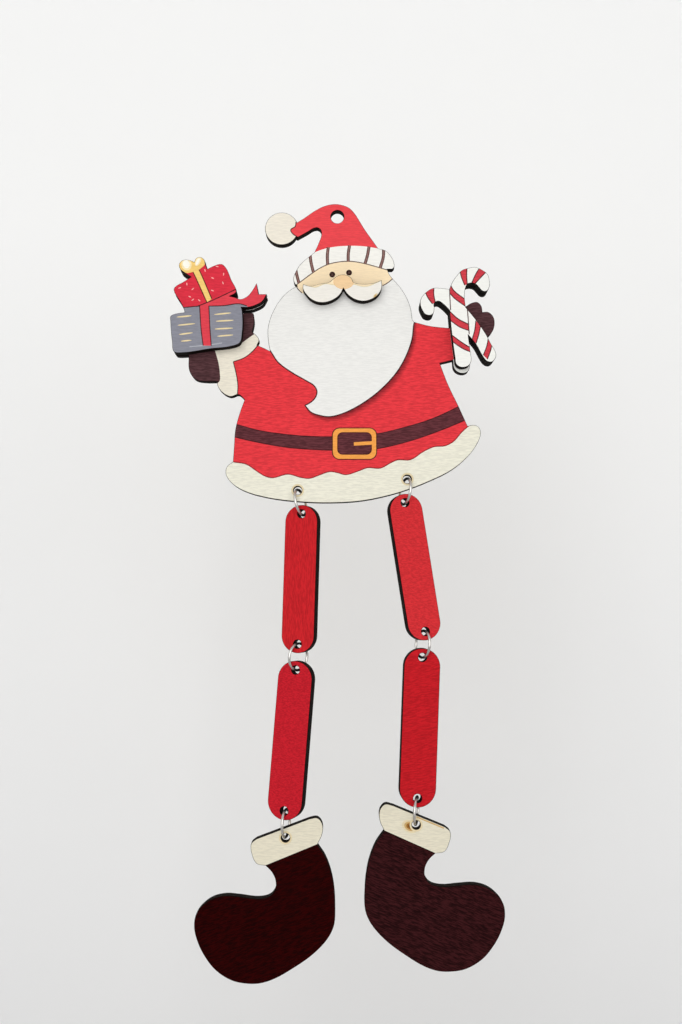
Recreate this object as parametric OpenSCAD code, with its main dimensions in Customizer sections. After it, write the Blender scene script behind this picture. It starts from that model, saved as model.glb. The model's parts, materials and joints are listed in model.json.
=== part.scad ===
// Flat hanging winter figure in printed laser-cut board, with legs that dangle on wire rings.
// The figure hangs upright: Z is up, the printed front faces -Y, and the hang hole is at the origin.

/* [Figure board] */
// Width of the figure board, from the gifts to the canes
figure_w = 96.4; // [88:0.1:106]
// Height of the figure board, from the top of the hat to the hem
figure_h = 90.6; // [82:0.1:102]
// Thickness of the figure, the legs and the boots
board_t = 3; // [2:0.1:3.4]
// Diameter of the hole in the hat that the figure hangs by
hang_hole_d = 4; // [3:0.1:5]
// Diameter of the ball on the tip of the hat
pompom_d = 10; // [8.5:0.1:10.5]

/* [Raised pieces] */
// Thickness of the pieces that are glued on the front
raised_t = 3; // [2:0.1:4]
// How far the gifts are glued above their shape in the board
gifts_slip_z = 0.2; // [0:0.1:1]

/* [Legs] */
// Width of an upper leg
upper_leg_w = 10.1; // [9:0.1:12]
// Distance between the two holes of an upper leg
upper_leg_span = 38.2; // [34:0.2:46]
// Width of a lower leg
lower_leg_w = 10.6; // [9:0.1:12]
// Distance between the two holes of a lower leg
lower_leg_span = 40.4; // [36:0.2:48]
// Distance from a leg's hole to its rounded tip
leg_hole_inset = 2.6; // [2.2:0.1:2.8]

/* [Boots] */
// Width of a boot, from toe to heel
boot_w = 40.3; // [36:0.1:42]
// Height of a boot, from the cuff to the sole
boot_h = 46.2; // [42:0.1:54]

/* [Rings] */
// Diameter of the holes that the rings pass through
ring_hole_d = 2.5; // [2.3:0.1:2.8]
// Clear diameter inside a ring
ring_inner_d = 7; // [6.8:0.1:8.5]
// Diameter of the ring wire
wire_d = 0.8; // [0.6:0.05:0.9]
// How much nearer the two holes of a hip ring lie than the ring can hold them apart
hip_slack = 0.4; // [0:0.1:0.5]
// Width of the slit where a ring was closed
ring_slit_w = 0.15; // [0.1:0.05:0.4]

/* [Hidden] */
// Room that is left on each side of a wire in its hole
wire_room = 0.25;
// How far a cut runs past the board it goes through
overrun = 1;
// Straight pieces in each curved stretch of an outline
curve_steps = 4;

// Places and outlines as read in the picture: pixels across, pixels down, and a 1 at a sharp corner
hang_px = [337, 217];
pompom_px = [281, 229];
left_hip_px = [298, 489];
right_hip_px = [406, 478];
boot_hole_px = [286, 835];

// Hat, face, beard, coat, arms, mittens and hem, clockwise from the tip of the hat
body_px = [
    [283, 231, 1], [296, 223], [304, 218], [314, 211], [324, 206], [334, 204], [342, 205],
    [349, 208], [354, 213], [358, 219], [364, 229], [371, 239], [378, 249, 1],
    [385, 251], [391, 257], [394, 264], [394, 268], [392, 270, 1], [387, 270, 1],
    [389, 275], [392, 279], [399, 287], [405, 296], [410, 308], [412, 321, 1],
    [414, 323, 1], [430, 327], [449, 329, 1], [456, 314], [466, 307], [471, 304], [477, 303],
    [481, 307], [482, 313, 1], [488, 313], [493, 318], [494, 325], [492, 332], [486, 339, 1],
    [470, 336, 1], [452, 340, 1], [452, 361, 1], [439, 364, 1], [447, 385], [457, 406],
    [466, 426, 1], [472, 425], [477, 427], [479, 433], [475, 444], [466, 456], [450, 469],
    [430, 479], [398, 491], [362, 499], [330, 501], [300, 500], [268, 496], [244, 489],
    [232, 481], [227, 473], [228, 466], [234, 461, 1], [235, 445], [236, 430], [240, 414],
    [245, 400, 1], [239, 395], [231, 397], [223, 393], [218, 386], [218, 382, 1],
    [206, 382], [196, 380], [190, 372], [189, 358], [189, 345, 1], [230, 322, 1],
    [244, 314], [253, 314, 1], [254, 323], [252, 333, 1], [256, 336], [259, 341], [257, 346, 1],
    [264, 349], [270, 352, 1], [268, 341], [268, 327], [273, 312], [282, 298], [291, 290],
    [297, 287, 1], [294, 284], [293, 279], [295, 273], [300, 265], [309, 257], [314, 253, 1],
    [318, 244], [321, 235], [320, 230], [316, 228], [306, 233], [297, 238, 1]
];

// Two stacked gift boxes with a bow and a ribbon tail, clockwise from the right of the bow
gifts_px = [
    [208, 273, 1], [214, 270], [222, 268], [226, 271], [232, 284], [237, 295], [236, 297],
    [230, 300, 1], [235, 301], [241, 303], [248, 300], [253, 294], [257, 287, 1],
    [259, 298, 1], [267, 298, 1], [263, 305], [256, 309], [249, 311], [242, 311, 1],
    [243, 315], [243, 338], [241, 346], [235, 349], [212, 352], [182, 356], [176, 355],
    [174, 345], [172, 324], [172, 320], [175, 318], [186, 316, 1], [185, 312], [180, 303],
    [175, 294], [176, 291], [184, 286], [192, 281, 1], [186, 277], [181, 273], [180, 268],
    [184, 264], [190, 264], [195, 266, 1], [197, 262], [201, 261], [205, 264], [206, 268]
];

// Two crossed canes, clockwise from where the front one leaves the rear one
canes_px = [
    [448, 293, 1], [451, 286], [456, 279], [461, 274], [467, 272], [474, 271], [481, 274],
    [486, 278], [488, 285], [488, 290], [485, 295], [481, 295], [477, 291], [474, 288],
    [470, 287], [466, 288], [464, 292], [463, 300], [464, 311, 1], [473, 322], [484, 338],
    [488, 346], [493.5, 357], [493, 361], [489, 365], [484, 364], [480, 359], [474, 348],
    [466, 338, 1], [468, 353], [469, 364], [467, 368], [463, 370], [458, 370], [454, 367],
    [453, 361], [450, 337], [448, 314, 1], [442, 308], [437, 305], [433, 307], [433, 312],
    [432, 317], [429, 319], [424, 318], [421, 314], [419, 308], [420, 302], [425, 296],
    [432, 292], [440, 292]
];

// Lower end of the front cane in the board, which is a little longer than the raised one
cane_foot_px = [
    [449, 337, 1], [452, 361], [453, 369], [457, 373], [463, 374], [467, 372], [469, 366], [467, 348, 1]
];

// Moustache with the nose above its middle, clockwise from its upper left corner
moustache_px = [
    [303, 288, 1], [310, 290], [319, 288], [329, 286], [334, 282], [339, 279], [346, 279],
    [351, 282], [353, 286], [363, 288], [373, 287], [381, 284, 1], [381, 292], [377, 299],
    [371, 303], [363, 305], [354, 303], [347, 298], [343, 292, 1], [340, 298], [334, 303],
    [326, 306], [318, 306], [311, 303], [306, 298], [303, 293]
];

// Left boot with its toe to the left, clockwise from the left end of the cuff
boot_px = [
    [252, 840], [257, 836, 1], [310, 816, 1], [318, 815], [323, 821], [323, 831], [318, 842, 1],
    [326, 854], [332, 870], [335, 886], [336, 904], [335, 922], [329, 935], [314, 951],
    [294, 965], [274, 976], [260, 980], [247, 980], [233, 977], [217, 967], [207, 955],
    [199, 940], [195, 924], [197, 911], [203, 903], [213, 896], [226, 893], [240, 894],
    [260, 896], [271, 893], [276, 886], [276, 877], [272, 869], [266, 863, 1], [257, 861],
    [252, 851], [251, 843]
];

// Extent of a list of points across (0) or down (1) the picture
function reach(points, way) = max([for (p = points) p[way]]) - min([for (p = points) p[way]]);

figure_px_w = reach(concat(gifts_px, canes_px), 0);
figure_px_h = reach(body_px, 1);
boot_px_w = reach(boot_px, 0);
boot_px_h = reach(boot_px, 1);

// Picture places turned into places on the figure board and on a boot
function on_figure(p) = [
    (p[0] - hang_px[0]) * figure_w / figure_px_w,
    (hang_px[1] - p[1]) * figure_h / figure_px_h
];
function on_boot(p) = [
    (p[0] - boot_hole_px[0]) * boot_w / boot_px_w,
    (boot_hole_px[1] - p[1]) * boot_h / boot_px_h
];

// Smooth closed outline through points, which turns sharply only where corners says so
function pick(list, i) = list[(i + len(list)) % len(list)];
function unit(v) = v / norm(v);
function going(points, i) = unit(pick(points, i + 1) - pick(points, i));
function heading(points, corners, i, leaving) =
    pick(corners, i)
        ? going(points, leaving ? i : i - 1)
        : unit(going(points, i) + going(points, i - 1));
function bend(a, b, from, to, s) =
    let (reach_out = norm(b - a))
    a * (2 * pow(s, 3) - 3 * pow(s, 2) + 1)
        + b * (3 * pow(s, 2) - 2 * pow(s, 3))
        + from * reach_out * (pow(s, 3) - 2 * pow(s, 2) + s)
        + to * reach_out * (pow(s, 3) - pow(s, 2));
function outline(points, corners) = [
    for (i = [0 : len(points) - 1])
        for (k = [0 : curve_steps - 1])
            bend(
                points[i],
                pick(points, i + 1),
                heading(points, corners, i, true),
                heading(points, corners, i + 1, false),
                k / curve_steps
            )
];
function corners_of(list) = [for (p = list) len(p) > 2];
function figure_outline(list) = outline([for (p = list) on_figure(p)], corners_of(list));
function boot_outline(list) = outline([for (p = list) on_boot(p)], corners_of(list));

// The bowed wire of a ring that hangs taut lies in the middle of both of its holes
ring_mean_d = ring_inner_d + wire_d;
wire_bow = ring_mean_d / 2 - sqrt(pow(ring_mean_d / 2, 2) - pow(board_t / 2, 2));
hole_gap = ring_mean_d - wire_bow;
ring_slit_angle = ring_slit_w / (ring_mean_d / 2) * 180 / PI;

// Most that a ring can turn in a hole, about the line through its two holes
ring_play = atan((ring_hole_d - wire_d - 2 * wire_room) / board_t);

// Each chain from the top: hip ring, upper leg, knee ring, lower leg, ankle ring, boot.
// Leans are from straight down towards the right, and turns are shares of a ring's play to the left
left_leans = [13, -1.6, -4, -4.5, 0, 0];
right_leans = [-8.5, 8.7, -5, -2.4, -2.5, -1.7];
left_turn_shares = [0.9, 0.82, 1.8, 0.82, 0.6, 0];
right_turn_shares = [-0.9, -0.65, -1.2, -0.2, 0.55, 0];

// Holes that a chain passes through, from the hip in the hem down to the boot
function step_down(p, length, lean) = p + length * [sin(lean), -cos(lean)];
function chain(hip, leans) =
    let (
        upper_top = step_down(hip, hole_gap - hip_slack, leans[0]),
        upper_end = step_down(upper_top, upper_leg_span, leans[1]),
        lower_top = step_down(upper_end, hole_gap, leans[2]),
        lower_end = step_down(lower_top, lower_leg_span, leans[3]),
        boot_top = step_down(lower_end, hole_gap, leans[4])
    )
    [hip, upper_top, upper_end, lower_top, lower_end, boot_top];
left_chain = chain(on_figure(left_hip_px), left_leans);
right_chain = chain(on_figure(right_hip_px), right_leans);

$fn = 48;

// An upright board with its back at y = back
module board(t, back) {
    translate([0, back, 0]) rotate([90, 0, 0]) linear_extrude(t) children();
}

// A round hole right through a board that is centred on y = 0
module hole(p, d) {
    translate([p[0], 0, p[1]]) rotate([90, 0, 0]) cylinder(d = d, h = board_t + 2 * overrun, center = true);
}

// A piece set at its place in a chain
module hung(p, lean, turn_share) {
    translate([p[0], 0, p[1]]) rotate([0, -lean, 0]) rotate([0, 0, -turn_share * ring_play]) children();
}

// Leg with its upper hole at the origin
module leg(width, span) {
    round_centre = leg_hole_inset - width / 2;
    difference() {
        board(board_t, board_t / 2) {
            translate([-width / 2, -span - round_centre]) square([width, span + 2 * round_centre]);
            translate([0, round_centre]) circle(d = width);
            translate([0, -span - round_centre]) circle(d = width);
        }
        hole([0, 0], ring_hole_d);
        hole([0, -span], ring_hole_d);
    }
}

// Boot with its hole at the origin
module boot() {
    difference() {
        board(board_t, board_t / 2) polygon(boot_outline(boot_px));
        hole([0, 0], ring_hole_d);
    }
}

// Ring that stands upright across a board, centred on the origin, with its slit behind
module ring() {
    rotate([0, 90, 0])
        rotate([0, 0, 90 + ring_slit_angle / 2])
            rotate_extrude(angle = 360 - ring_slit_angle)
                translate([ring_mean_d / 2, 0]) circle(d = wire_d);
}

// Ring number k of a chain, between hole 2k and hole 2k + 1
module ring_of(holes, leans, turn_shares, k) {
    middle = (holes[2 * k] + holes[2 * k + 1]) / 2;
    color("silver") hung(middle, leans[2 * k], turn_shares[2 * k]) ring();
}

// Leg that hangs by hole k of a chain
module leg_of(holes, leans, turn_shares, k, width, span) {
    color("crimson") hung(holes[k], leans[k], turn_shares[k]) leg(width, span);
}

module figure_board() {
    color("firebrick") difference() {
        union() {
            board(board_t, board_t / 2) {
                polygon(figure_outline(body_px));
                translate([0, -gifts_slip_z]) polygon(figure_outline(gifts_px));
                polygon(figure_outline(canes_px));
                polygon(figure_outline(cane_foot_px));
            }
            board(board_t, board_t / 2) translate(on_figure(pompom_px)) circle(d = pompom_d);
        }
        hole([0, 0], hang_hole_d);
        hole(left_chain[0], ring_hole_d);
        hole(right_chain[0], ring_hole_d);
    }
}

module moustache() {
    color("ivory") board(raised_t, -board_t / 2) polygon(figure_outline(moustache_px));
}

module gift_stack() {
    color("slategray") board(raised_t, -board_t / 2) polygon(figure_outline(gifts_px));
}

module candy_canes() {
    color("mistyrose") board(raised_t, -board_t / 2) polygon(figure_outline(canes_px));
}

module left_hip_ring() { ring_of(left_chain, left_leans, left_turn_shares, 0); }
module left_knee_ring() { ring_of(left_chain, left_leans, left_turn_shares, 1); }
module left_ankle_ring() { ring_of(left_chain, left_leans, left_turn_shares, 2); }
module right_hip_ring() { ring_of(right_chain, right_leans, right_turn_shares, 0); }
module right_knee_ring() { ring_of(right_chain, right_leans, right_turn_shares, 1); }
module right_ankle_ring() { ring_of(right_chain, right_leans, right_turn_shares, 2); }

module left_upper_leg() {
    leg_of(left_chain, left_leans, left_turn_shares, 1, upper_leg_w, upper_leg_span);
}

module right_upper_leg() {
    leg_of(right_chain, right_leans, right_turn_shares, 1, upper_leg_w, upper_leg_span);
}

module left_lower_leg() {
    leg_of(left_chain, left_leans, left_turn_shares, 3, lower_leg_w, lower_leg_span);
}

module right_lower_leg() {
    leg_of(right_chain, right_leans, right_turn_shares, 3, lower_leg_w, lower_leg_span);
}

module left_boot() {
    color("saddlebrown") hung(left_chain[5], left_leans[5], left_turn_shares[5]) boot();
}

module right_boot() {
    color("saddlebrown") hung(right_chain[5], right_leans[5], right_turn_shares[5]) mirror([1, 0, 0]) boot();
}

figure_board();
moustache();
gift_stack();
candy_canes();
left_hip_ring();
left_upper_leg();
left_knee_ring();
left_lower_leg();
left_ankle_ring();
left_boot();
right_hip_ring();
right_upper_leg();
right_knee_ring();
right_lower_leg();
right_ankle_ring();
right_boot();
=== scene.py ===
# Printed plywood figure with dangling legs: prints the boards, bends the rings, lights and frames them.
import json
import math
import bmesh
import bpy
from mathutils import Matrix, Vector
from mathutils.geometry import delaunay_2d_cdt


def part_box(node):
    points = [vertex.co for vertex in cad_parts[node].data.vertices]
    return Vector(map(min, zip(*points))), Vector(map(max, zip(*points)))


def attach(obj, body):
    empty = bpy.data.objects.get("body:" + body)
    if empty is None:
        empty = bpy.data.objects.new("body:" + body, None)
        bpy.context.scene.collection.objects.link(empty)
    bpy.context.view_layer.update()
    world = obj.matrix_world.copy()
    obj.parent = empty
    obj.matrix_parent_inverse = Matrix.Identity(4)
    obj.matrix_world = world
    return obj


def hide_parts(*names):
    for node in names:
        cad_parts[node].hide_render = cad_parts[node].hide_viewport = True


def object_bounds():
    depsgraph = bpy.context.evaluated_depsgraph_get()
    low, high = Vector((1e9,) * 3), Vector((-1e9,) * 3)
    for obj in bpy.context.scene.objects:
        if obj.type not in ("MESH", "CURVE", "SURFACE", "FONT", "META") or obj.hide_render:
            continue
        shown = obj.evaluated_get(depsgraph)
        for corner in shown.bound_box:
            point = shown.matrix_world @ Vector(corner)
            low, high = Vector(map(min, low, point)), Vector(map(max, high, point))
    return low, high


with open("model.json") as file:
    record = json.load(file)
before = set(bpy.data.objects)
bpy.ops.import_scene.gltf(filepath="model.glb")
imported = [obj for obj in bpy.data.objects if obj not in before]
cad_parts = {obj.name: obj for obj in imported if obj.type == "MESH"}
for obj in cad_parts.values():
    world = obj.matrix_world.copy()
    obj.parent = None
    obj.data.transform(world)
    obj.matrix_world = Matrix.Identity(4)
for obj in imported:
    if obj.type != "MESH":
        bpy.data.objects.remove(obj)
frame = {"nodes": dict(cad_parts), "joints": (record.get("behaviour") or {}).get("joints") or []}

cadLow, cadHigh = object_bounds()
mm = 0.001
noiseLow, noiseHigh = 0.3, 0.7  # most of a noise texture lies between these
eyeWeights = Vector((0.2126, 0.7152, 0.0722))  # how light each colour looks
joints = {joint["name"]: joint for joint in frame["joints"]}


# Shader helpers
def hexParts(hexColour):
    return [int(hexColour[i:i + 2], 16) for i in (1, 3, 5)]


def linear(hexColour):
    parts = [part / 255 for part in hexParts(hexColour)]
    return tuple(c / 12.92 if c <= 0.04045 else ((c + 0.055) / 1.055) ** 2.4 for c in parts) + (1.0,)


def addNode(tree, kind, settings=None, links=None):
    node = tree.nodes.new(kind)
    for name, value in (settings or {}).items():
        if isinstance(name, int) or name in node.inputs:
            node.inputs[name].default_value = value
        else:
            setattr(node, name, value)
    for socket, source in (links or {}).items():
        tree.links.new(source, node.inputs[socket])
    return node


def newMaterial(name):
    material = bpy.data.materials.new(name)
    material.use_nodes = True
    material.node_tree.nodes.clear()
    return material, material.node_tree


# Ink printed straight on sanded birch plywood: matt flat colour, in which the raised grain shows as thin
# streaks, faint on pale ink and plainer on dark ink. Real streaks are a little finer: these are drawn as
# coarse as they need to be to show.
birchPrint = dict(
    streakWide=0.26, streakLong=2.1, streakDetail=2.0, streakRough=0.6,
    cloud=5.0, cloudShare=0.1, cloudDetail=2.0,
    streaks=0.038, darkGain=0.65, mostStreaks=0.55, toneLow=0.46, toneHigh=0.64,
    roughLow=0.58, roughHigh=0.74, relief=0.03, bump=0.5, sheen=0.025, ior=1.48,
)


def printedBirch(name, ink, grainTurn=0.0, gain=1.0):
    material, tree = newMaterial("birch printed " + name)
    colour = Vector(linear(ink)[:3])
    strength = gain * birchPrint["streaks"] * colour.dot(eyeWeights) ** -birchPrint["darkGain"]
    streaks = min(birchPrint["mostStreaks"], strength)
    wide, long, cloudSize = [birchPrint[size] * mm for size in ("streakWide", "streakLong", "cloud")]
    place = addNode(tree, "ShaderNodeTexCoord")
    laid = addNode(tree, "ShaderNodeMapping", {
        "vector_type": "TEXTURE", "Rotation": (0, math.radians(grainTurn), 0), "Scale": (long, wide, wide),
    }, {"Vector": place.outputs["Object"]})
    streak = addNode(tree, "ShaderNodeTexNoise", {
        "Scale": 1.0, "Detail": birchPrint["streakDetail"], "Roughness": birchPrint["streakRough"],
    }, {"Vector": laid.outputs[0]})
    cloud = addNode(tree, "ShaderNodeTexNoise", {
        "Scale": 1 / cloudSize, "Detail": birchPrint["cloudDetail"],
    }, {"Vector": place.outputs["Object"]})
    both = addNode(tree, "ShaderNodeMath", {"operation": "MULTIPLY_ADD", 1: birchPrint["cloudShare"]},
                   {0: cloud.outputs[0], 2: streak.outputs[0]})
    tone = addNode(tree, "ShaderNodeMapRange", {
        "From Min": birchPrint["toneLow"], "From Max": birchPrint["toneHigh"],
        "To Min": 1 - streaks, "To Max": 1 + streaks,
    }, {"Value": both.outputs[0]})
    inked = addNode(tree, "ShaderNodeVectorMath", {"operation": "SCALE", 0: colour},
                    {"Scale": tone.outputs[0]})
    rough = addNode(tree, "ShaderNodeMapRange", {
        "From Min": noiseLow, "From Max": noiseHigh,
        "To Min": birchPrint["roughLow"], "To Max": birchPrint["roughHigh"],
    }, {"Value": streak.outputs[0]})
    bump = addNode(tree, "ShaderNodeBump", {
        "Strength": birchPrint["bump"], "Distance": birchPrint["relief"] * mm,
    }, {"Height": streak.outputs[0]})
    surface = addNode(tree, "ShaderNodeBsdfPrincipled", {
        "IOR": birchPrint["ior"], "Specular IOR Level": birchPrint["sheen"],
    }, {"Base Color": inked.outputs[0], "Roughness": rough.outputs[0], "Normal": bump.outputs[0]})
    addNode(tree, "ShaderNodeOutputMaterial", links={"Surface": surface.outputs[0]})
    return material


# Plywood edge burnt by the cutting laser: dull near black, with browner plies and fine ridges across it.
laserEdge = dict(
    dark="#070504", light="#20130b", ridge=0.5, ply=0.8, detail=4.0, detailRough=0.7, lightFrom=0.42,
    lightFull=0.75, relief=0.05, bump=0.6, rough=0.8, ior=1.45, sheen=0.06,
)


def charredEdge():
    material, tree = newMaterial("laser charred birch edge")
    ridge, ply = laserEdge["ridge"] * mm, laserEdge["ply"] * mm
    place = addNode(tree, "ShaderNodeTexCoord")
    ridges = addNode(tree, "ShaderNodeMapping", {"vector_type": "TEXTURE", "Scale": (ridge, ply, ridge)},
                     {"Vector": place.outputs["Object"]})
    sootAndShade = addNode(tree, "ShaderNodeTexNoise", {
        "Scale": 1.0, "Detail": laserEdge["detail"], "Roughness": laserEdge["detailRough"],
    }, {"Vector": ridges.outputs[0]})
    share = addNode(tree, "ShaderNodeMapRange", {
        "From Min": laserEdge["lightFrom"], "From Max": laserEdge["lightFull"],
    }, {"Value": sootAndShade.outputs[0]})
    burnt = addNode(tree, "ShaderNodeMix", {
        "data_type": "RGBA", 6: linear(laserEdge["dark"]), 7: linear(laserEdge["light"]),
    }, {0: share.outputs[0]})
    bump = addNode(tree, "ShaderNodeBump", {
        "Strength": laserEdge["bump"], "Distance": laserEdge["relief"] * mm,
    }, {"Height": sootAndShade.outputs[0]})
    surface = addNode(tree, "ShaderNodeBsdfPrincipled", {
        "Roughness": laserEdge["rough"], "IOR": laserEdge["ior"], "Specular IOR Level": laserEdge["sheen"],
    }, {"Base Color": burnt.outputs[2], "Normal": bump.outputs[0]})
    addNode(tree, "ShaderNodeOutputMaterial", links={"Surface": surface.outputs[0]})
    return material


# Bare sanded birch veneer on the back: warm pale tan, with long level grain, dark pores and smoky clouds.
birchBack = dict(
    pale="#e3cba3", grain="#cba877", smoke="#b08c60", grainWide=0.9, grainLong=22.0, grainDetail=5.0,
    grainRough=0.62, grainBend=0.4, grainFrom=0.45, grainFull=0.72, cloud=26.0, cloudDetail=2.0,
    smokeFrom=0.5, smokeFull=0.8, smokeMost=0.5, relief=0.05, bump=0.5, rough=0.66, ior=1.5, sheen=0.3,
)


def bareBirch():
    material, tree = newMaterial("bare birch veneer")
    wide, long, cloudSize = [birchBack[size] * mm for size in ("grainWide", "grainLong", "cloud")]
    place = addNode(tree, "ShaderNodeTexCoord")
    along = addNode(tree, "ShaderNodeMapping", {"vector_type": "TEXTURE", "Scale": (long, wide, wide)},
                    {"Vector": place.outputs["Object"]})
    grain = addNode(tree, "ShaderNodeTexNoise", {
        "Scale": 1.0, "Detail": birchBack["grainDetail"], "Roughness": birchBack["grainRough"],
        "Distortion": birchBack["grainBend"],
    }, {"Vector": along.outputs[0]})
    cloud = addNode(tree, "ShaderNodeTexNoise", {
        "Scale": 1 / cloudSize, "Detail": birchBack["cloudDetail"],
    }, {"Vector": place.outputs["Object"]})
    line = addNode(tree, "ShaderNodeMapRange", {
        "From Min": birchBack["grainFrom"], "From Max": birchBack["grainFull"],
    }, {"Value": grain.outputs[0]})
    haze = addNode(tree, "ShaderNodeMapRange", {
        "From Min": birchBack["smokeFrom"], "From Max": birchBack["smokeFull"],
        "To Max": birchBack["smokeMost"],
    }, {"Value": cloud.outputs[0]})
    wood = addNode(tree, "ShaderNodeMix", {
        "data_type": "RGBA", 6: linear(birchBack["pale"]), 7: linear(birchBack["grain"]),
    }, {0: line.outputs[0]})
    smoked = addNode(tree, "ShaderNodeMix", {"data_type": "RGBA", 7: linear(birchBack["smoke"])},
                     {0: haze.outputs[0], 6: wood.outputs[2]})
    bump = addNode(tree, "ShaderNodeBump", {
        "Strength": birchBack["bump"], "Distance": birchBack["relief"] * mm,
    }, {"Height": grain.outputs[0]})
    surface = addNode(tree, "ShaderNodeBsdfPrincipled", {
        "Roughness": birchBack["rough"], "IOR": birchBack["ior"], "Specular IOR Level": birchBack["sheen"],
    }, {"Base Color": smoked.outputs[2], "Normal": bump.outputs[0]})
    addNode(tree, "ShaderNodeOutputMaterial", links={"Surface": surface.outputs[0]})
    return material


# Drawn steel wire with a bright nickel wash: mirror grey, with fine scratches that spread its glints, and
# dull near black painted shade where it runs through the burnt holes.
wireSteel = dict(
    colour="#bdbab6", sootAndShade="#0d0a09", scratch=0.25, scratchDetail=3.0, relief=0.01, bump=0.25,
    roughLow=0.16, roughHigh=0.34, holeShadeRough=0.75,
)


def drawnSteel():
    material, tree = newMaterial("nickel washed steel wire")
    place = addNode(tree, "ShaderNodeTexCoord")
    scratch = addNode(tree, "ShaderNodeTexNoise", {
        "Scale": 1 / (wireSteel["scratch"] * mm), "Detail": wireSteel["scratchDetail"],
    }, {"Vector": place.outputs["Object"]})
    rough = addNode(tree, "ShaderNodeMapRange", {
        "From Min": noiseLow, "From Max": noiseHigh,
        "To Min": wireSteel["roughLow"], "To Max": wireSteel["roughHigh"],
    }, {"Value": scratch.outputs[0]})
    bump = addNode(tree, "ShaderNodeBump", {
        "Strength": wireSteel["bump"], "Distance": wireSteel["relief"] * mm,
    }, {"Height": scratch.outputs[0]})
    # Painted shade: the wire turns dull and near black where it runs through the holes
    sootAndShade = addNode(tree, "ShaderNodeAttribute", {"attribute_name": "sootAndShade"})
    colour = addNode(tree, "ShaderNodeMix", {
        "data_type": "RGBA", 6: linear(wireSteel["colour"]), 7: linear(wireSteel["sootAndShade"]),
    }, {0: sootAndShade.outputs["Fac"]})
    shine = addNode(tree, "ShaderNodeMapRange", {"To Min": 1.0, "To Max": 0.0},
                    {"Value": sootAndShade.outputs["Fac"]})
    dull = addNode(tree, "ShaderNodeMix", {"data_type": "FLOAT", 3: wireSteel["holeShadeRough"]},
                   {0: sootAndShade.outputs["Fac"], 2: rough.outputs[0]})
    surface = addNode(tree, "ShaderNodeBsdfPrincipled", links={
        "Base Color": colour.outputs[2], "Metallic": shine.outputs[0], "Roughness": dull.outputs[0],
        "Normal": bump.outputs[0],
    })
    addNode(tree, "ShaderNodeOutputMaterial", links={"Surface": surface.outputs[0]})
    return material


# Inks of the print, as they show on the wood
inks = dict(
    hatRed="#e84a50", ballCream="#eee7d8", bandWhite="#f4f2eb", stripeBrown="#5a3431",
    stripeCore="#93716a", skin="#fae3bd", noseSkin="#efcc9e", noseEdge="#e6b983", eyeBrown="#3b2623",
    eyeSheen="#5a4540", beardWhite="#ecebe7", moustacheWhite="#eeeae1", lineBrown="#4a2426",
    lineGrey="#5b4a45", seamRed="#8a2228", coatRed="#e03b42", mittenBrown="#503437",
    cuffCream="#e9e2d1", beltBrown="#5c3035", buckleGold="#f2a24e", hemCream="#e9e6d5",
    scorchFaint="#e0d1ac", scorchTan="#c8a56b", scorchMid="#9a6a34", scorchDark="#6f4620",
    giftRed="#d73444", ribbonRed="#dc4450", giftDot="#f2b0ab", giftGrey="#8a8b95", giftSeam="#b0b2b9",
    giftGold="#f3cc78", glintSoft="#f8e6b6", glint="#fdf9ec", dashGold="#efd9a4", underGift="#1d1414",
    caneWhite="#f2f2ec", caneRed="#cc3f49", bootCuff="#e0d9c4", bootLine="#1c0b0b",
)
# How much more or less than usual the grain shows through some inks
grainGain = dict(
    coatRed=1.2, hatRed=0.65, hemCream=1.5, cuffCream=1.2, bootCuff=1.2, giftRed=0.65, ribbonRed=0.65,
    giftGrey=0.7, beardWhite=0.85, bandWhite=0.7, moustacheWhite=0.7, caneWhite=0.6, skin=0.7, legs=1.05,
)
paint = {name: printedBirch(name, ink, gain=grainGain.get(name, 1.0)) for name, ink in inks.items()}
edgeMaterial, backMaterial, wireMaterial = charredEdge(), bareBirch(), drawnSteel()
print("materials made:", len(bpy.data.materials))


# Drawing helpers: places are picture pixels, and a third value marks a sharp corner
def curve(points, closed=False, steps=5):
    places = [Vector(p[:2]) for p in points]
    count = len(places)

    def heading(i):
        return (places[(i + 1) % count] - places[i % count]).normalized()

    drawn = []
    for i in range(count if closed else count - 1):
        a, b = places[i], places[(i + 1) % count]
        sharpA = len(points[i]) > 2 or (not closed and i == 0)
        sharpB = len(points[(i + 1) % count]) > 2 or (not closed and i == count - 2)
        leave = heading(i) if sharpA else (heading(i) + heading(i - 1)).normalized()
        arrive = heading(i) if sharpB else (heading(i) + heading(i + 1)).normalized()
        reach = (b - a).length
        for s in (k / steps for k in range(steps)):
            drawn.append(a * (2 * s ** 3 - 3 * s ** 2 + 1) + b * (3 * s ** 2 - 2 * s ** 3)
                         + leave * reach * (s ** 3 - 2 * s ** 2 + s) + arrive * reach * (s ** 3 - s ** 2))
    return drawn if closed else drawn + [places[-1]]


def besides(points, distances):
    moved = []
    for i, p in enumerate(points):
        along = (points[min(i + 1, len(points) - 1)] - points[max(i - 1, 0)]).normalized()
        moved.append(p + Vector((-along.y, along.x)) * distances[i])
    return moved


def stroke(points, width):
    left = [width / 2] * len(points)
    right = [-width / 2] * len(points)
    return besides(points, left) + besides(points, right)[::-1]


def oval(centre, across, down, turn=0.0, steps=28):
    tilt = Matrix.Rotation(math.radians(turn), 2)
    turns = [2 * math.pi * k / steps for k in range(steps)]
    return [Vector(centre) + tilt @ Vector((across * math.cos(t), down * math.sin(t))) for t in turns]


def roundedBox(low, high, radius, grow=0.0, steps=5):
    corners = [(high[0] - radius, high[1] - radius, 0), (low[0] + radius, high[1] - radius, 90),
               (low[0] + radius, low[1] + radius, 180), (high[0] - radius, low[1] + radius, 270)]
    box = []
    for x, y, start in corners:
        for k in range(steps + 1):
            turn = math.radians(start + 90 * k / steps)
            box.append(Vector((x, y)) + (radius + grow) * Vector((math.cos(turn), math.sin(turn))))
    return box


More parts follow.
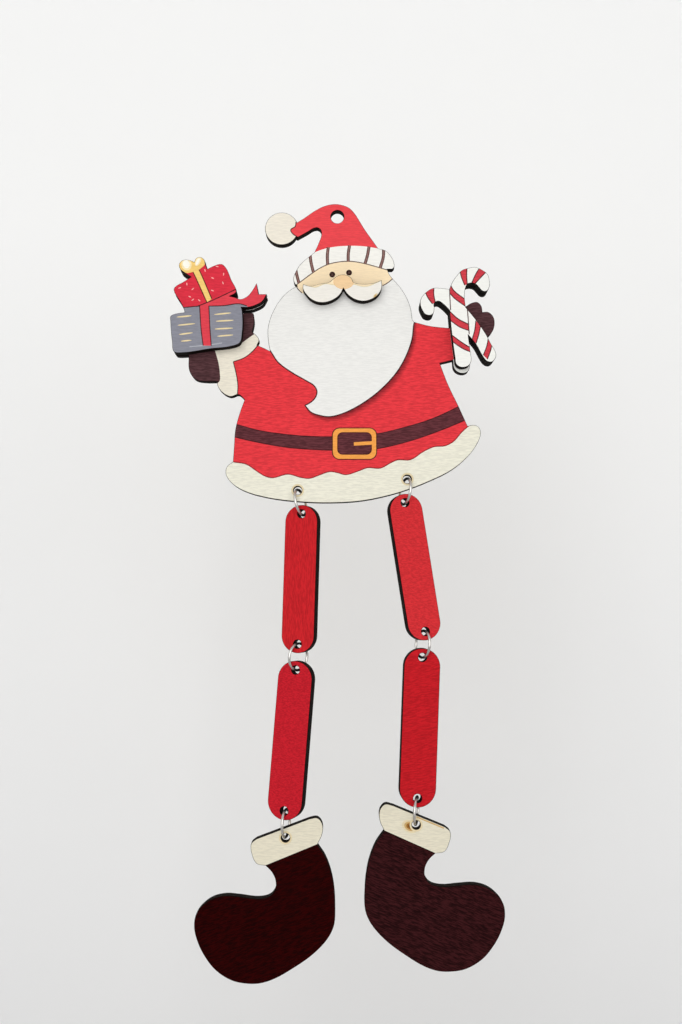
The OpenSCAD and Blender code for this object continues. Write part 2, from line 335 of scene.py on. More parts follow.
# Board helpers, with the sizes of the laser's cut in millimetres
cut = dict(bevel=0.13, holeSteps=40, sharpTurn=32, mitreLeast=0.6, weld=1e-4)


def counterClockwise(loop):
    area = sum(a.x * b.y - b.x * a.y for a, b in zip(loop, loop[1:] + loop[:1]))
    return loop if area > 0 else loop[::-1]


def outward(before, here, after):
    first, second = (here - before).normalized(), (after - here).normalized()
    firstSide, secondSide = Vector((first.y, -first.x)), Vector((second.y, -second.x))
    middle = (firstSide + secondSide).normalized()
    return middle / max(cut["mitreLeast"], middle.dot(firstSide))


def openEdges(loops):
    edges = set()
    for loop in loops:
        for a, b in zip(loop, loop[1:] + loop[:1]):
            if (b, a) in edges:
                edges.remove((b, a))
            elif a != b:
                edges.add((a, b))
    return edges


# Reads a board from its solid: front plane, depths, outline and holes, in millimetres on that plane
solid = dict(facing=0.5, level=0.9999, digits=3)


def readBoard(node):
    mesh = frame["nodes"][node].data
    facing = [face for face in mesh.polygons if face.normal.y < -solid["facing"]]

    def levelWith(normal):
        return [face for face in facing if face.normal.dot(normal) > solid["level"]]

    def spread(face):
        return sum(other.area for other in levelWith(face.normal))

    front = max(facing, key=spread).normal.normalized()
    up = (Vector((0, 0, 1)) - front * front.z).normalized()
    right = up.cross(front)

    def flat(v):
        return tuple(round(mesh.vertices[v].co.dot(axis) / mm, solid["digits"]) for axis in (right, up))

    follow = dict(sorted(openEdges([[flat(v) for v in face.vertices] for face in levelWith(front)])))
    loops = []
    while follow:
        start = min(follow)
        loop, here = [Vector(start)], follow.pop(start)
        while here != start:
            loop.append(Vector(here))
            here = follow.pop(here)
        loops.append(loop)

    def reach(loop):
        return max((p - loop[0]).length for p in loop)

    loops.sort(key=reach, reverse=True)
    depths = [v.co.dot(front) for v in mesh.vertices]
    centres = [sum(loop, Vector((0, 0))) / len(loop) for loop in loops[1:]]
    radii = [max((p - centre).length for p in loop) for centre, loop in zip(centres, loops[1:])]
    return dict(front=front, up=up, right=right, near=max(depths), far=min(depths),
                outline=counterClockwise(loops[0]), holes=list(zip(centres, radii)))


# Cuts a board's front into its printed areas, later ones on top
def printedFront(board, base, areas):
    bevel, outline = cut["bevel"], board["outline"]
    after = outline[1:] + outline[:1]
    inset = [p - outward(outline[i - 1], p, after[i]) * bevel for i, p in enumerate(outline)]
    openings = [oval(centre, radius + bevel, radius + bevel, steps=cut["holeSteps"])
                for centre, radius in board["holes"]]
    points, shapes = [], []
    for shape in [inset] + openings + [area for ink, area in areas]:
        shapes.append(list(range(len(points), len(points) + len(shape))))
        points += counterClockwise(list(shape))
    places, _, triangles, _, _, origins = delaunay_2d_cdt(points, [], shapes, 0, cut["weld"], True)
    firstArea = 1 + len(openings)
    kept = []
    for (a, b, c), ids in zip(triangles, origins):
        if 0 in ids and not any(0 < n < firstArea for n in ids):
            turned = (places[b] - places[a]).cross(places[c] - places[a]) < 0
            ink = base if max(ids) == 0 else areas[max(ids) - firstArea][0]
            kept.append(((a, c, b) if turned else (a, b, c), ink))
    return places, kept


# Makes a board round its printed front, with a burnt bevel and edge and a bare back
def makeBoard(name, node, body, base, areas=()):
    board, bevel = readBoard(node), cut["bevel"]
    places, kept = printedFront(board, base, areas)
    inkNames = sorted({ink for _, ink in kept})
    edgeSlot, backSlot = len(inkNames), len(inkNames) + 1
    build = bmesh.new()

    def corner(p, depth):
        return build.verts.new(board["right"] * p.x * mm + board["up"] * p.y * mm + board["front"] * depth)

    used = sorted({v for triangle, _ in kept for v in triangle})
    nearCorners = {v: corner(places[v], board["near"]) for v in used}
    farCorners = {v: corner(places[v], board["far"]) for v in used}
    for triangle, ink in kept:
        build.faces.new([nearCorners[v] for v in triangle]).material_index = inkNames.index(ink)
        build.faces.new([farCorners[v] for v in reversed(triangle)]).material_index = backSlot
    follow = dict(sorted(openEdges([list(triangle) for triangle, _ in kept])))
    before = {w: v for v, w in follow.items()}
    rims = {}
    for v in follow:
        p = places[v] + outward(places[before[v]], places[v], places[follow[v]]) * bevel
        rims[v] = (corner(p, board["near"] - bevel * mm), corner(p, board["far"] + bevel * mm))
    for v, w in follow.items():
        rows = [(nearCorners[v], nearCorners[w]), (rims[v][0], rims[w][0]), (rims[v][1], rims[w][1]),
                (farCorners[v], farCorners[w])]
        for (topV, topW), (lowV, lowW) in zip(rows, rows[1:]):
            wall = build.faces.new((topW, topV, lowV, lowW))
            wall.material_index = edgeSlot
            wall.smooth = True
    build.normal_update()
    for edge in build.edges:
        edge.smooth = edge.calc_face_angle(0) < math.radians(cut["sharpTurn"])
    mesh = bpy.data.meshes.new(name)
    for material in [paint[ink] for ink in inkNames] + [edgeMaterial, backMaterial]:
        mesh.materials.append(material)
    build.to_mesh(mesh)
    build.free()
    piece = bpy.data.objects.new(name, mesh)
    bpy.context.scene.collection.objects.link(piece)
    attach(piece, body)
    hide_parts(node)
    print("board made:", name, len(kept), "printed triangles,", len(inkNames), "inks")


# Figure board: picture pixels turned into millimetres from the hang hole
figure = dict(hangPx=(337, 217), acrossPx=321.5, downPx=297, thinLine=0.95)
giftLow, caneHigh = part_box("gift_stack")[0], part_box("candy_canes")[1]
figureLow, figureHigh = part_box("figure_board")
figure["acrossMm"] = (caneHigh.x - giftLow.x) / mm / figure["acrossPx"]
figure["downMm"] = (figureHigh.z - figureLow.z) / mm / figure["downPx"]


def onFigure(areas, shift=(0, 0)):
    x0, y0 = figure["hangPx"][0] - shift[0], figure["hangPx"][1] - shift[1]

    def place(p):
        return Vector(((p[0] - x0) * figure["acrossMm"], (y0 - p[1]) * figure["downMm"]))

    return [(ink, [place(p) for p in points]) for ink, points in areas]


def thinLine(points, ink="lineBrown"):
    return ink, stroke(points, figure["thinLine"])


# Hat: a red cone that flops over to a cream ball, above a pale band with brown stripes
hat = dict(
    ball=(281, 229), ballRadius=17.4, ballSteps=48, crown=[(300, 195), (400, 195), (400, 254)],
    flop=[(284, 262), (286, 240)],
    tip=[(300, 214, 1), (295.5, 222, 1), (294.6, 226.8), (290.2, 230.2), (291.6, 233.6), (297.6, 238, 1),
         (302, 242, 1)],
    tipBack=[(330, 240), (330, 205)], tipLine=slice(5, -5),
    bandTop=[(286, 272), (300, 262), (313.8, 253.3), (324.2, 249.4), (334.1, 247.4), (348.9, 246.4),
             (363.7, 246.9), (378.6, 249.2), (400, 253)],
    bandFoot=[(290, 290), (298.5, 284), (310.4, 275.1), (319.3, 269.1), (329.1, 264.7), (341, 262.4),
              (351.9, 262.2), (363.7, 264.2), (376.6, 267.7), (386.5, 270.6), (400, 274)],
    stripes=[[(294.9, 266.5), (295.8, 273), (298.6, 284)], [(309.6, 254.6), (310.6, 263), (313, 273)],
             [(327.9, 247.8), (327, 256), (327.3, 265.4)], [(349.3, 246), (348, 254), (347.9, 262.4)],
             [(368.8, 247), (367.2, 256), (364.8, 264.2)], [(383.4, 249.6), (383, 258), (379.8, 268.8)]],
    stripeWide=3.1, coreWide=1.2,
)


def hatAreas():
    bandTop, tip = curve(hat["bandTop"]), curve(hat["tip"])
    return [("hatRed", hat["crown"] + bandTop[::-1] + hat["flop"]),
            ("ballCream", oval(hat["ball"], hat["ballRadius"], hat["ballRadius"], steps=hat["ballSteps"])),
            ("hatRed", tip + hat["tipBack"]), thinLine(tip[hat["tipLine"]])]


def bandAreas():
    bandTop, bandFoot = curve(hat["bandTop"]), curve(hat["bandFoot"])
    areas = [("bandWhite", bandTop + bandFoot[::-1]), thinLine(bandFoot, "lineGrey")]
    for stripe in hat["stripes"]:
        areas.append(("stripeBrown", stroke(curve(stripe), hat["stripeWide"])))
        areas.append(("stripeCore", stroke(curve(stripe), hat["coreWide"])))
    return areas


# Beard: white, with a printed shadow on the coat that fades out of its right edge
beard = dict(
    edge=[(416, 318), (413.6, 324), (411.4, 340), (405.5, 356.6), (396, 373), (380.7, 389.6),
          (365.4, 401.6), (345.3, 412.6), (329.5, 416.9), (320.4, 415.8), (310.9, 412.4), (305, 405.8, 1),
          (311.5, 402), (315.4, 397.6), (316.8, 392), (314.2, 386.6), (306.2, 381.4), (292.1, 373.4),
          (277.9, 362.8), (270.8, 352.4), (266, 346)],
    top=[(240, 340), (262, 300), (284, 284), (345, 272), (396, 266), (430, 280)], edgeLine=slice(4, -4),
    point=(305, 405.8), lineWide=1.2, shadeWide=7.2, shadeSteps=8, shadeSwell=0.8, shadeDark="#7c2429",
)
for step in range(beard["shadeSteps"]):
    fade = (step + 0.5) / beard["shadeSteps"]
    ends = zip(hexParts(beard["shadeDark"]), hexParts(inks["coatRed"]))
    shade = "#" + "".join(f"{round(a + (b - a) * fade):02x}" for a, b in ends)
    paint[f"coatShade{step}"] = printedBirch(f"coatShade{step}", shade, gain=grainGain["coatRed"])


def beardAreas():
    edge = curve(beard["edge"])
    gaps = [(p - Vector(beard["point"])).length for p in edge]
    point = gaps.index(min(gaps))
    shaded = edge[:point]
    swell = [math.sin(math.pi * (k + 1) / (point + 1)) ** beard["shadeSwell"] for k in range(point)]
    widths = [beard["shadeWide"] * s for s in swell]
    areas = []
    for step in reversed(range(beard["shadeSteps"])):
        part = (step + 1) / beard["shadeSteps"]
        areas.append((f"coatShade{step}", shaded + besides(shaded, [-w * part for w in widths])[::-1]))
    return areas + [("beardWhite", edge + beard["top"]),
                    ("lineBrown", stroke(edge[beard["edgeLine"]], beard["lineWide"]))]


# Face: plain skin between the hat band and the beard, with two dot eyes
face = dict(
    cheeks=[(290, 290, 1), (298.5, 284), (310.4, 275.1), (319.3, 269.1), (329.1, 264.7), (341, 262.4),
            (351.9, 262.2), (363.7, 264.2), (376.6, 267.7), (386.5, 270.6, 1), (396, 276, 1),
            (392.2, 280, 1), (382.4, 286.7, 1), (372, 288, 1), (343, 286, 1), (312, 290, 1),
            (303, 294.6, 1), (301.2, 293.6, 1), (296, 286.2, 1)],
    cheekLine=[(382.4, 286.7), (387.5, 283.6), (392.4, 279.6)],
    earLine=[(295.4, 285), (297.6, 290), (301.6, 293.8)],
    eyes=[(331.9, 275.4), (348.7, 273.5)], eyeRadius=2.95, sheenRadius=1.1,
)


def faceAreas():
    areas = [("skin", curve(face["cheeks"], closed=True))]
    areas += [thinLine(curve(face[line]), "lineGrey") for line in ("cheekLine", "earLine")]
    for eye in face["eyes"]:
        areas.append(("eyeBrown", oval(eye, face["eyeRadius"], face["eyeRadius"])))
        areas.append(("eyeSheen", oval(eye, face["sheenRadius"], face["sheenRadius"])))
    return areas


# Coat: cream cuff, brown mittens, belt and wavy cream hem
coat = dict(
    leftCuff=[(252, 336.6, 1), (247.2, 340), (241.3, 344.2), (228, 349), (215.2, 351, 1), (218.9, 363.7),
              (220.4, 374.3), (219.9, 382.2), (216.6, 383.9, 1), (210, 400, 1), (238, 402, 1),
              (238, 394.6, 1), (238.4, 386.1), (236.6, 374.3), (233.6, 362.6, 1), (244.8, 358.4),
              (251.9, 353), (258, 346.2, 1), (268, 344, 1), (262, 330, 1)],
    cuffLines=[[(258, 346.2), (251.9, 353), (244.8, 358.4), (233.6, 362.6)],
               [(233.6, 362.6), (236.6, 374.3), (238.4, 386.1), (238, 395)]],
    leftMitten=[(180, 300), (256, 300), (255, 340), (248, 349), (232, 356), (227, 360), (229, 374),
                (228, 392), (180, 396)],
    rightMitten=[(453, 296), (500, 296), (500, 344), (453, 344)],
    beltTop=[(232, 423), (237.2, 424.4), (259, 430.3), (282.6, 433.9), (306.2, 436), (331.6, 436.6),
             (353, 436), (375.4, 433.9), (405.5, 426.8), (430.3, 419.1), (456.2, 407.3), (462, 404)],
    beltFoot=[(232, 435.8), (236, 436.9), (259, 442.1), (282.6, 446.3), (306.2, 448.6), (331.6, 449.8),
              (353, 449.9), (375.4, 448.4), (405.5, 441.6), (430.3, 433.5), (463.3, 420.3), (468, 418)],
    hem=[(226, 459), (234.8, 461.2), (247.2, 463.4), (259, 471), (266.1, 475.1), (273.2, 476.6),
         (288.5, 473.1), (301.5, 476.4), (309.8, 477.2), (319.2, 474), (329.8, 470.6), (337, 471.6),
         (345.3, 473.6), (357.1, 470.3), (366.6, 466.9), (379.6, 467.2), (389, 462.4), (396.1, 459.3),
         (409, 459), (422, 451), (432.6, 446.3), (443.3, 445.4), (451.5, 441.3), (459.8, 432.2),
         (466.5, 426.3), (474, 421)],
    hemFoot=[(492, 430), (480, 480), (400, 510), (300, 515), (215, 500), (215, 462)],
)
buckle = dict(
    low=(332.6, 428.4), high=(375.4, 458.2), radius=6.5, gapLow=(337.9, 433), gapHigh=(370.2, 453.2),
    gapRadius=4.2, prong=[(353.4, 443.6), (371.5, 442.6)], prongWide=3.4,
)


def coatAreas():
    beltTop, beltFoot, hem = curve(coat["beltTop"]), curve(coat["beltFoot"]), curve(coat["hem"])
    frameBox = (buckle["low"], buckle["high"], buckle["radius"])
    gapBox = (buckle["gapLow"], buckle["gapHigh"], buckle["gapRadius"])
    return [("mittenBrown", coat["leftMitten"]), ("mittenBrown", coat["rightMitten"]),
            ("cuffCream", curve(coat["leftCuff"], closed=True)),
            *[thinLine(curve(line)) for line in coat["cuffLines"]],
            ("beltBrown", beltTop + beltFoot[::-1]), thinLine(beltTop), thinLine(beltFoot),
            ("lineBrown", roundedBox(*frameBox, grow=figure["thinLine"])),
            ("buckleGold", roundedBox(*frameBox)),
            ("lineBrown", roundedBox(*gapBox, grow=figure["thinLine"])),
            ("beltBrown", roundedBox(*gapBox)),
            ("buckleGold", stroke([Vector(p) for p in buckle["prong"]], buckle["prongWide"])),
            ("hemCream", hem + coat["hemFoot"]), thinLine(hem, "seamRed")]


# The board's own cane and gift shapes, of which slivers show past the raised pieces; the gift's shape is
# filled near black, as painted shade under and between the raised gifts
under = dict(
    gifts=[(160, 250), (244, 250), (244, 300), (228, 305), (200, 320), (188.5, 338), (188.5, 365),
           (160, 365)],
    ribbon=[(246, 300), (270, 282), (272, 306), (258, 313.4), (246, 312.4)],
    caneFoot=[(452, 360), (450, 376), (472, 378), (471, 360)],
)
# Laser scorch round the ring holes, as rings of ink this much wider than the hole, in millimetres
scorch = dict(rings=[("scorchFaint", 0.65), ("scorchTan", 0.15)], steps=32)


def scorchAreas(centre, radius):
    wide = [(ink, radius + grow) for ink, grow in scorch["rings"]]
    return [(ink, oval(centre, reach, reach, steps=scorch["steps"])) for ink, reach in wide]


def underAreas():
    # Painted shade: the gift's shape is near black where it shows under and between the raised gifts
    areas = onFigure([("underGift", under["gifts"]), ("caneWhite", under["ribbon"]),
                      ("caneWhite", under["caneFoot"])])
    areas.append(("caneWhite", readBoard("candy_canes")["outline"]))
    holes = readBoard("figure_board")["holes"]
    hangRadius = max(radius for _, radius in holes)
    for centre, radius in holes:
        if radius < hangRadius:
            areas += scorchAreas(centre, radius)
    return areas


figureAreas = onFigure(hatAreas() + beardAreas() + faceAreas() + bandAreas() + coatAreas()) + underAreas()
makeBoard("printed_figure", "figure_board", "figure", "coatRed", figureAreas)

# Moustache, with the nose above its middle; places as seen, then moved onto the raised board
moustache = dict(
    shift=(0, 3), nose=(343.3, 282.6), noseAcross=9.7, noseDown=7.1, noseEdge=0.4, noseSteps=40,
    tanBandWide=1.8,
    skinLine=[(298, 284), (303.4, 283.6), (309, 286.4), (315.4, 287.6), (324.8, 284.3), (334, 285.4),
              (343, 287), (352.3, 284.7), (362, 286.8), (368, 286.4), (375, 283.4), (381.7, 280.7),
              (388, 279)],
    above=[(392, 257), (295, 257)],
    burns=[("scorchFaint", 3, 1.5), ("scorchTan", 1.6, 0.7)], burnAt=(374.6, 296.6), burnTurn=-50,
)


def moustacheAreas():
    across, down, edge = moustache["noseAcross"], moustache["noseDown"], moustache["noseEdge"]
    skinLine = curve(moustache["skinLine"])
    # A faint tan band is drawn along the line where the skin meets the white
    areas = [("scorchFaint", stroke(skinLine, moustache["tanBandWide"])),
             ("skin", skinLine + moustache["above"])]
    for ink, long, wide in moustache["burns"]:
        areas.append((ink, oval(moustache["burnAt"], long, wide, moustache["burnTurn"])))
    for ink, grow in (("noseEdge", edge), ("noseSkin", 0.0)):
        nose = oval(moustache["nose"], across + grow, down + grow, steps=moustache["noseSteps"])
        areas.append((ink, nose))
    return onFigure(areas, moustache["shift"])


makeBoard("printed_moustache", "moustache", "figure", "moustacheWhite",
          moustacheAreas())

# Gifts: a red box with a gold bow on a grey box with a red ribbon; places as seen, then moved onto the
# raised board
gifts = dict(
    shift=(1.5, 3),
    lowBox=[(160, 309.5), (183.3, 308.3), (199.4, 306.9), (209, 306.9), (224, 306.4), (238.4, 304.6),
            (246, 306.6)],
    lowBoxFoot=[(252, 312), (252, 360), (160, 365)], lowBoxLine=slice(5, None),
    seam=[(190, 347), (206, 345.6), (222, 343.4)],
    boxLine=[(196, 307.4), (199.6, 306.1), (212, 301.2), (224, 295.6), (236.5, 289.6)],
    tail=[(250, 284), (280, 268), (280, 314), (196, 314)],
    strip=[[(199.4, 306.4), (201.2, 330), (203.4, 346)], [(211.4, 346), (210, 330), (208.6, 306.4)]],
    goldStrip=[[(189, 266), (192.5, 272.8), (206.6, 303.2)], [(211.4, 299.8), (198.3, 270.2), (194, 262)]],
    bow=[(172, 255), (210, 255), (206, 262.8), (202.8, 267.2), (198.6, 270.6), (193, 272.8),
         (187.4, 274.2), (181, 273), (174, 268)],
    softGlints=[((186, 265.6), 5, 5.8, -15), ((197.4, 262.4), 2.6, 5, 25)],
    glints=[((185.8, 265.2), 3.3, 4.2, -15), ((197.2, 262.6), 1.4, 3.6, 25)],
    dashes=[((176.8, 317.8), (191.9, 316.4)), ((177.9, 325.9), (195.3, 324.2)),
            ((179.4, 335), (193.1, 333.2)), ((181.3, 341.6), (191.9, 340.6)),
            ((213.8, 315.3), (230.7, 313.6)), ((215.5, 321.9), (233.2, 320.9)),
            ((214.4, 329.6), (232.9, 328.6)), ((217.2, 336.7), (232.9, 335.4))], dashWide=1.4,
    dots=[(179.5, 288.8), (186.6, 285), (192.5, 289.9), (189.6, 297.6), (192.6, 300.6), (199, 301.2),
          (204.4, 271.4), (216.4, 267.5), (212, 279), (222.9, 275.2), (222.3, 283.9), (212, 291.5)],
    dotLong=1.5, dotWide=0.5, dotTurn=40, dotSteps=10,
)


def giftAreas():
    low = curve(gifts["lowBox"])
    areas = [("ribbonRed", gifts["boxLine"] + gifts["tail"]), ("giftGrey", low + gifts["lowBoxFoot"])]
    for a, b in gifts["dashes"]:
        slope = math.degrees(math.atan2(b[1] - a[1], b[0] - a[0]))
        middle = ((a[0] + b[0]) / 2, (a[1] + b[1]) / 2)
        areas.append(("dashGold", oval(middle, (b[0] - a[0]) / 2, gifts["dashWide"] / 2, slope)))
    areas += [thinLine(low[gifts["lowBoxLine"]]), thinLine(curve(gifts["seam"]), "giftSeam")]
    for ink, strip in (("ribbonRed", gifts["strip"]), ("giftGold", gifts["goldStrip"])):
        areas.append((ink, strip[0] + strip[1]))
        areas += [thinLine(curve(side)) for side in strip]
    areas.append(thinLine(curve(gifts["boxLine"])))
    for dot in gifts["dots"]:
        turn = dot[0] * gifts["dotTurn"]
        areas.append(("giftDot", oval(dot, gifts["dotLong"], gifts["dotWide"], turn, gifts["dotSteps"])))
    areas.append(("giftGold", gifts["bow"]))
    areas += [("glintSoft", oval(*glint)) for glint in gifts["softGlints"]]
    areas += [("glint", oval(*glint)) for glint in gifts["glints"]]
    return onFigure(areas, gifts["shift"])


makeBoard("printed_gifts", "gift_stack", "figure", "giftRed", giftAreas())

# Canes: red slanting stripes with thin dark edges; places as seen, then moved onto the raised board
canes = dict(
    shift=(-1.3, 2.8),
    stripes=[
        ([(459.6, 269.6), (461, 277.5), (464.4, 286.4)], [(467, 266), (466.5, 276), (466.9, 285.4)]),
        ([(480.4, 267.6), (475.6, 275), (471.4, 284)], [(487, 272), (481, 278), (474.9, 284.6)]),
        ([(450, 285.6), (453.4, 291.4), (465, 300.6)], [(450, 294.9), (454.2, 299.4), (465, 307.3)]),
        ([(449.2, 312.2), (458, 320), (467.6, 324.9)], [(450.2, 321.5), (459, 327.8), (467.6, 331.1)]),
        ([(451, 335.5), (461.1, 343), (471.8, 349.7)], [(452.4, 342.6), (462.1, 349.2), (471.8, 353.2)]),
        ([(425, 292.4), (428, 299), (432.4, 305)], [(434.2, 286), (433.7, 295), (435.2, 303.8)]),
        ([(475, 321.6), (473.8, 331), (471.2, 340)], [(479.6, 326.4), (478, 334.6), (475, 344)]),
        ([(487.4, 337.6), (485.4, 347), (482, 355.6)], [(491.2, 342.6), (489.4, 350.6), (486, 359.6)]),
    ],
    crossing=[[(449.4, 287), (449.6, 297), (450.2, 311)], [(464.7, 291), (466.7, 309), (468.4, 335)]],
)


def caneAreas():
    areas = []
    for stripe in canes["stripes"]:
        first, second = [curve(edge) for edge in stripe]
        areas += [("caneRed", first + second[::-1]), thinLine(first), thinLine(second)]
    areas += [thinLine(curve(crossing)) for crossing in canes["crossing"]]
    return onFigure(areas, canes["shift"])


makeBoard("printed_canes", "candy_canes", "figure", "caneWhite", caneAreas())

# Legs: each was cut from the sheet its own way, so its grain has its own turn, and its red its own depth
legs = dict(
    left_upper_leg=("#c4242a", 88), left_lower_leg=("#c0202c", 6),
    right_upper_leg=("#d03136", 10), right_lower_leg=("#bd1d25", -8),
)
for node, (ink, grainTurn) in legs.items():
    paint[node] = printedBirch(f"legRed {node}", ink, grainTurn, grainGain["legs"])
    makeBoard(f"printed_{node}", node, node, node)

# Boots: brown with a cream cuff; pixels are from the hole, and the right boot is the left one turned over
boots = dict(
    holePx=(286, 835), acrossPx=141, downPx=165, seamWide=0.9,
    seam=[(318.4, 841.6), (292, 852.4), (266, 863)], cuff=[(240, 872), (230, 800), (340, 800), (340, 832)],
    left=dict(ink="#240101", grainTurn=-20, flip=1, lean=0.0, burns=[], edgeBurn=[]),
    right=dict(ink="#2f1113", grainTurn=22, flip=-1, lean=-1.7,
               burns=[("scorchFaint", 2.5), ("scorchTan", 1.8), ("scorchMid", 1.2), ("scorchDark", 0.6)],
               edgeBurn=[(258, 837.4), (272, 832.1), (286, 826.8)]),
    burnAt=(-1.7, -0.4), burnFlat=0.7, burnTurn=-20, burnWide=1.3,
)
leftLow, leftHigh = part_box("left_boot")
boots["acrossMm"] = (leftHigh.x - leftLow.x) / mm / boots["acrossPx"]
boots["downMm"] = (leftHigh.z - leftLow.z) / mm / boots["downPx"]


def bootAreas(node, make):
    centre, radius = readBoard(node)["holes"][0]
    hang = Matrix.Rotation(math.radians(make["lean"]), 2)
    x0, y0 = boots["holePx"]
    scale = Vector((make["flip"] * boots["acrossMm"], -boots["downMm"]))

    def place(points):
        return [centre + hang @ (Vector((p[0] - x0, p[1] - y0)) * scale) for p in points]

    seam = curve(boots["seam"])
    areas = [("bootCuff", place(seam + boots["cuff"])),
             ("bootLine", place(stroke(seam, boots["seamWide"])))]
    for ink, reach in make["burns"]:
        spot = centre + Vector(boots["burnAt"])
        areas.append((ink, oval(spot, reach, reach * boots["burnFlat"], boots["burnTurn"])))
    if make["edgeBurn"]:
        areas.append(("scorchTan", place(stroke(curve(make["edgeBurn"]), boots["burnWide"]))))
    return areas + scorchAreas(centre, radius)


for side in ("left", "right"):
    node, make = f"{side}_boot", boots[side]
    paint[node] = printedBirch(f"bootBrown {side}", make["ink"], make["grainTurn"])
    makeBoard(f"printed_{node}", node, node, node, bootAreas(node, make))

# Split wire rings, bent round where the solids have them, with the wire's ends nipped at the slit; painted
# shade lies so many degrees to either side of the two holes that a ring goes through, and then fades
ringBend = dict(aroundSteps=90, tubeSteps=16, nip=0.82, slitMost=0.2, holeShadeTo=24, holeShadeFade=38)


def makeRing(node, fold, swing):
    centre, axis = Vector(fold["pos_m"]), Vector(fold["axis"]).normalized()
    up = Vector(swing["pos_m"]) - centre
    up = (up - axis * up.dot(axis)).normalized()
    across = axis.cross(up)
    spokes = [v.co - centre for v in frame["nodes"][node].data.vertices]
    reaches = [(spoke - axis * spoke.dot(axis)).length for spoke in spokes]
    mean, wire = (max(reaches) + min(reaches)) / 2, (max(reaches) - min(reaches)) / 2
    turns = sorted(math.atan2(spoke.dot(across), spoke.dot(up)) for spoke in spokes)
    slit, start = max((b - a, b) for a, b in zip(turns, turns[1:]))
    sweep = 2 * math.pi - min(slit, ringBend["slitMost"])
    steps, sides = ringBend["aroundSteps"], ringBend["tubeSteps"]
    build = bmesh.new()
    rows, sootAndShade = [], []
    # Painted shade on the wire: full near the two holes, fading out further round
    full, none = [math.cos(math.radians(ringBend[key])) for key in ("holeShadeTo", "holeShadeFade")]
    for k in range(steps + 1):
        turn = start + sweep * k / steps
        spoke = up * math.cos(turn) + across * math.sin(turn)
        sootAndShade += [min(1.0, max(0.0, (abs(math.cos(turn)) - none) / (full - none)))] * sides
        thick = wire * (ringBend["nip"] if k in (0, steps) else 1.0)
        row = []
        for n in range(sides):
            about = 2 * math.pi * n / sides
            row.append(build.verts.new(centre + spoke * (mean + thick * math.cos(about))
                                       + axis * thick * math.sin(about)))
        rows.append(row)
    for first, second in zip(rows, rows[1:]):
        for n in range(sides):
            after = (n + 1) % sides
            build.faces.new((first[n], second[n], second[after], first[after])).smooth = True
    build.faces.new(rows[0][::-1])
    build.faces.new(rows[-1])
    bmesh.ops.recalc_face_normals(build, faces=build.faces)
    mesh = bpy.data.meshes.new(f"wire_{node}")
    mesh.materials.append(wireMaterial)
    build.to_mesh(mesh)
    build.free()
    mesh.attributes.new("sootAndShade", "FLOAT", "POINT").data.foreach_set("value", sootAndShade)
    piece = bpy.data.objects.new(f"wire_{node}", mesh)
    bpy.context.scene.collection.objects.link(piece)
    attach(piece, node)
    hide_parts(node)


for side in ("left", "right"):
    for place in ("hip", "knee", "ankle"):
        limb = f"{side}_{place}"
        makeRing(f"{limb}_ring", joints[f"{limb}_fold"], joints[f"{limb}_swing"])
print("rings bent")

# Stage: one sheet of pale matt paper, floor and wall in a sweep, seen only from its lit side, and painted
# darker towards the foot as painted shade
stage = dict(
    behind=160, floorDrop=110, sweep=120, wide=4400, front=1500, frontWide=1000, high=900, sweepSteps=12,
    litTopTone="#fafaf9", shadedFootTone="#ebebeb", topAt=60, footAt=-300,
)


def makeStage():
    wallY, floorZ = stage["behind"] * mm, cadLow.z - stage["floorDrop"] * mm
    radius = stage["sweep"] * mm
    profile = [(-stage["front"] * mm, floorZ)]
    for k in range(stage["sweepSteps"] + 1):
        turn = math.radians(90 * k / stage["sweepSteps"])
        profile.append((wallY - radius + radius * math.sin(turn),
                        floorZ + radius - radius * math.cos(turn)))
    profile.append((wallY, floorZ + stage["high"] * mm))
    halves = [stage["frontWide"] / 2 * mm] + [stage["wide"] / 2 * mm] * (len(profile) - 1)
    corners = [(x, y, z) for half, (y, z) in zip(halves, profile) for x in (-half, half)]
    faces = [(2 * k, 2 * k + 1, 2 * k + 3, 2 * k + 2) for k in range(len(profile) - 1)]
    mesh = bpy.data.meshes.new("paper_sweep")
    mesh.from_pydata(corners, [], faces)
    for face in mesh.polygons:
        face.use_smooth = True
    sheet = bpy.data.objects.new("paper_sweep", mesh)
    bpy.context.scene.collection.objects.link(sheet)
    material, tree = newMaterial("matt white paper")
    spot = addNode(tree, "ShaderNodeNewGeometry")
    height = addNode(tree, "ShaderNodeSeparateXYZ", links={0: spot.outputs["Position"]})
    # Painted shade: the paper's colour darkens by height from the top tone to the foot tone
    paintedFalloff = addNode(tree, "ShaderNodeMapRange", {
        "From Min": stage["footAt"] * mm, "From Max": stage["topAt"] * mm,
    }, {"Value": height.outputs[2]})
    tone = addNode(tree, "ShaderNodeMix", {
        "data_type": "RGBA", 6: linear(stage["shadedFootTone"]), 7: linear(stage["litTopTone"]),
    }, {0: paintedFalloff.outputs[0]})
    paper = addNode(tree, "ShaderNodeBsdfDiffuse", links={"Color": tone.outputs[2]})
    clear = addNode(tree, "ShaderNodeBsdfTransparent")
    oneSided = addNode(tree, "ShaderNodeMixShader",
                       links={0: spot.outputs["Backfacing"], 1: paper.outputs[0], 2: clear.outputs[0]})
    addNode(tree, "ShaderNodeOutputMaterial", links={"Surface": oneSided.outputs[0]})
    mesh.materials.append(material)


makeStage()

# Light: a wide soft box above the front, a weaker one from the right, and pale air all round
lamps = dict(
    aim=(0, 0, -110), air=0.355, airTone="#ffffff", seenTone="#eeefef",
    softBox=dict(at=(-280, -1560, 300), size=1600, power=17.4),
    fillBox=dict(at=(1100, -1140, -200), size=1350, power=5.2),
)


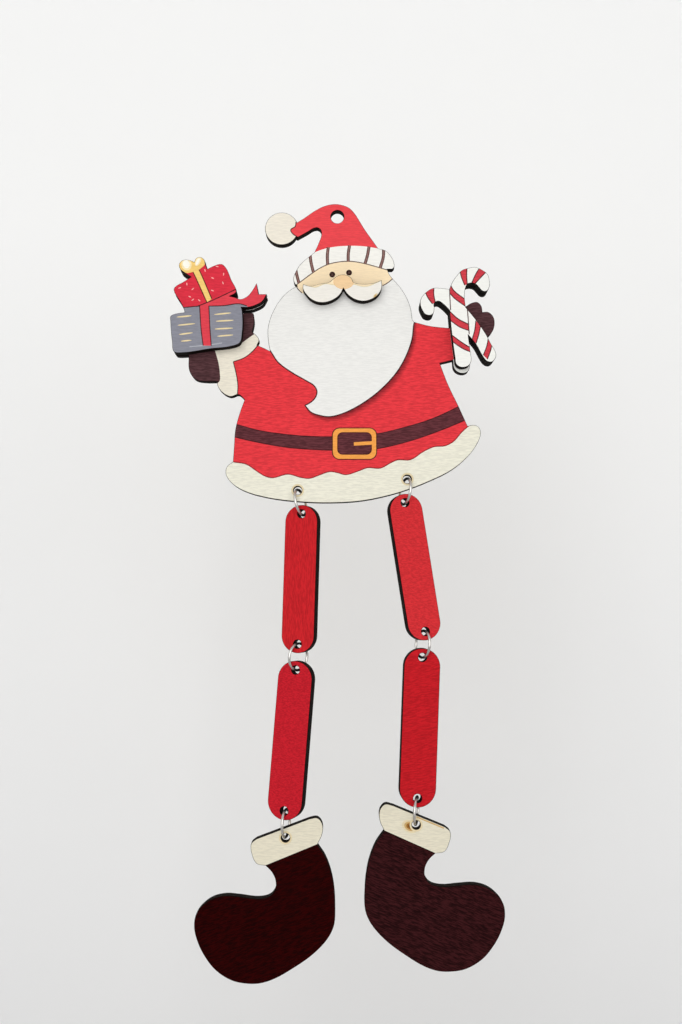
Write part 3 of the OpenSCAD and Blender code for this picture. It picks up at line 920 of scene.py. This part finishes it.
def makeLamp(name):
    spec = lamps[name]
    lamp = bpy.data.lights.new(name, "AREA")
    lamp.size = spec["size"] * mm
    lamp.energy = spec["power"]
    holder = bpy.data.objects.new(name, lamp)
    holder.location = Vector(spec["at"]) * mm
    holder.rotation_euler = (Vector(lamps["aim"]) - Vector(spec["at"])).to_track_quat("-Z", "Y").to_euler()
    bpy.context.scene.collection.objects.link(holder)


def makeAir():
    world = bpy.data.worlds.new("pale studio air")
    world.use_nodes = True
    tree = world.node_tree
    tree.nodes.clear()
    rays = addNode(tree, "ShaderNodeLightPath")
    mirrored = addNode(tree, "ShaderNodeMath", {"operation": "MAXIMUM"},
                       {0: rays.outputs["Is Camera Ray"], 1: rays.outputs["Is Glossy Ray"]})
    seen = addNode(tree, "ShaderNodeMath", {"operation": "MAXIMUM"},
                   {0: mirrored.outputs[0], 1: rays.outputs["Is Transmission Ray"]})
    glow = addNode(tree, "ShaderNodeBackground", {
        "Color": linear(lamps["airTone"]), "Strength": lamps["air"],
    })
    shown = addNode(tree, "ShaderNodeBackground", {"Color": linear(lamps["seenTone"]), "Strength": 1.0})
    mixed = addNode(tree, "ShaderNodeMixShader",
                    links={0: seen.outputs[0], 1: glow.outputs[0], 2: shown.outputs[0]})
    addNode(tree, "ShaderNodeOutputWorld", links={"Surface": mixed.outputs[0]})
    bpy.context.scene.world = world


makeLamp("softBox")
makeLamp("fillBox")
makeAir()
bpy.context.scene.view_settings.view_transform = "Standard"

# Camera: close in front of the shins, tilted up a little, as in the picture
view = dict(at=(1.1, -295.5, -112.3), tiltUp=4.46, lens=35.16, sensor=36.0, clipStart=10)
cameraData = bpy.data.cameras.new("portrait")
cameraData.lens = view["lens"]
cameraData.sensor_width = view["sensor"]
cameraData.clip_start = view["clipStart"] * mm
camera = bpy.data.objects.new("portrait", cameraData)
camera.location = Vector(view["at"]) * mm
camera.rotation_euler = (math.radians(90 + view["tiltUp"]), 0, 0)
bpy.context.scene.collection.objects.link(camera)
bpy.context.scene.camera = camera
print("stage, lamps and camera set")
